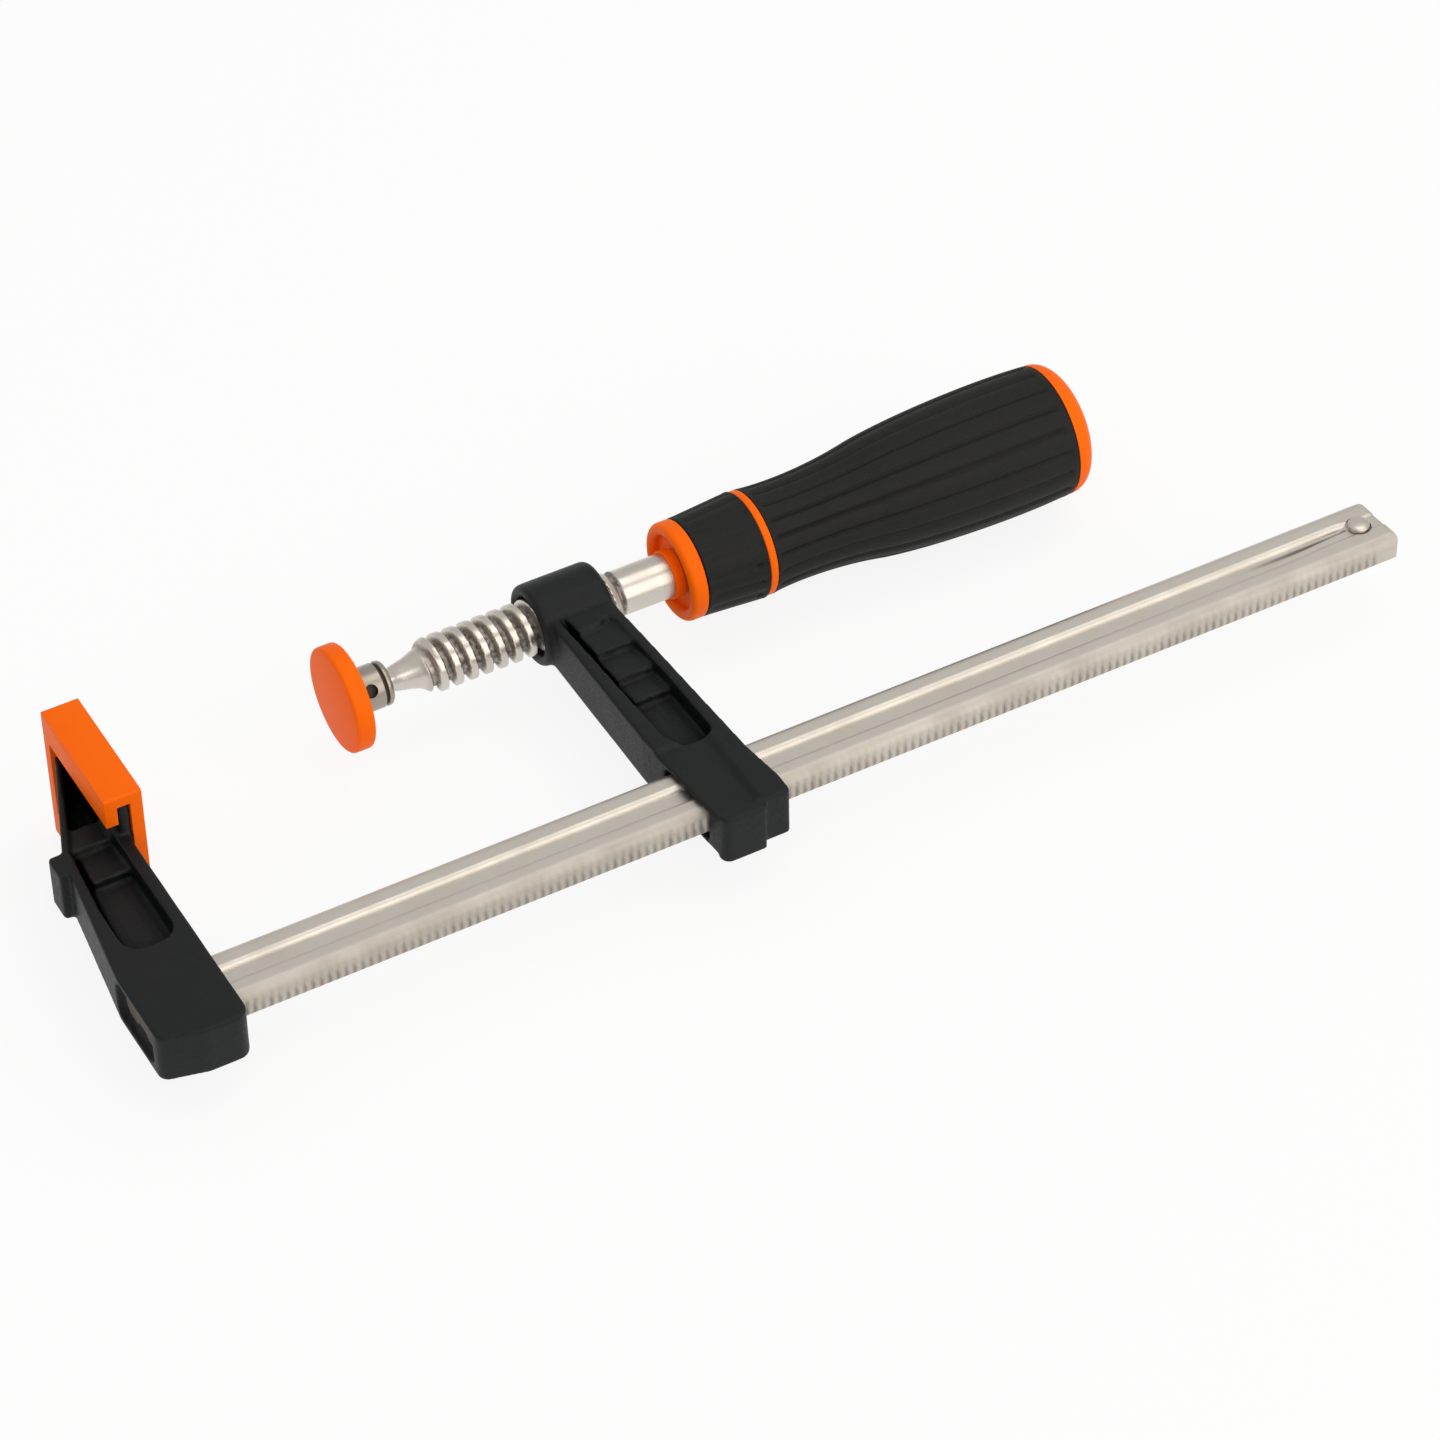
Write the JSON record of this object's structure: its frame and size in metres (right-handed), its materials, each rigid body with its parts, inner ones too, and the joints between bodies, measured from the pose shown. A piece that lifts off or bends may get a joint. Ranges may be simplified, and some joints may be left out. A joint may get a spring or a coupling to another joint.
{
  "type": "quick release bar clamp",
  "caption": "Quick release bar clamp: a cast arm slides on a serrated rail and a handled screw presses a swivel pad towards the capped fixed jaw.",
  "frame": {"origin": "on the spindle axis, in the clamping face of the fixed jaw's cap", "axes": "+X along the rail towards its free end, +Y from the rail towards the jaw tips, +Z out of the clamp's broad side"},
  "size_m": [0.3197, 0.1013, 0.037],
  "materials": {
    "nickel_plated_rail": "nickel plated, drawn",
    "plated_steel": "nickel plated, turned",
    "spring_steel": "blued spring steel",
    "powder_coated_iron": "black powder coat on a casting",
    "orange_plastic": "moulded, satin",
    "black_elastomer": "overmoulded soft grip"
  },
  "bodies": {
    "frame": {"rail": "nickel_plated_rail", "stop_pin": "plated_steel", "fixed_arm": "powder_coated_iron", "fixed_jaw_cap": "orange_plastic"},
    "slider": {"sliding_arm": "powder_coated_iron"},
    "carrier": {"retaining_ring": "spring_steel"},
    "screw": {"spindle": "plated_steel", "handle_core": "orange_plastic", "grip_front": "black_elastomer", "grip_rear": "black_elastomer", "end_cap": "orange_plastic"},
    "pad": {"swivel_pad": "plated_steel", "pad_cap": "orange_plastic"}
  },
  "joints": [
    {"name": "arm_slide", "type": "slide", "parent": "frame", "child": "slider", "axis": [1, 0, 0], "range_m": [-0.052, 0.1558]},
    {"name": "spindle_feed", "type": "slide", "parent": "slider", "child": "carrier", "axis": [-1, 0, 0], "range_m": [-0.034, 0.002]},
    {"name": "spindle_turn", "type": "hinge", "parent": "carrier", "child": "screw", "pos_m": [0.1, 0, 0], "axis": [-1, 0, 0], "range_deg": [-3220, 189]},
    {"name": "pad_tilt", "type": "hinge", "parent": "carrier", "child": "pad", "pos_m": [0.06431, 0, 0], "axis": [0, 0, 1], "range_deg": [-7, 7]}
  ],
  "couplings": [
    {"joint": "spindle_feed", "follows": "spindle_turn", "m_per_rad": 0.00060479}
  ]
}
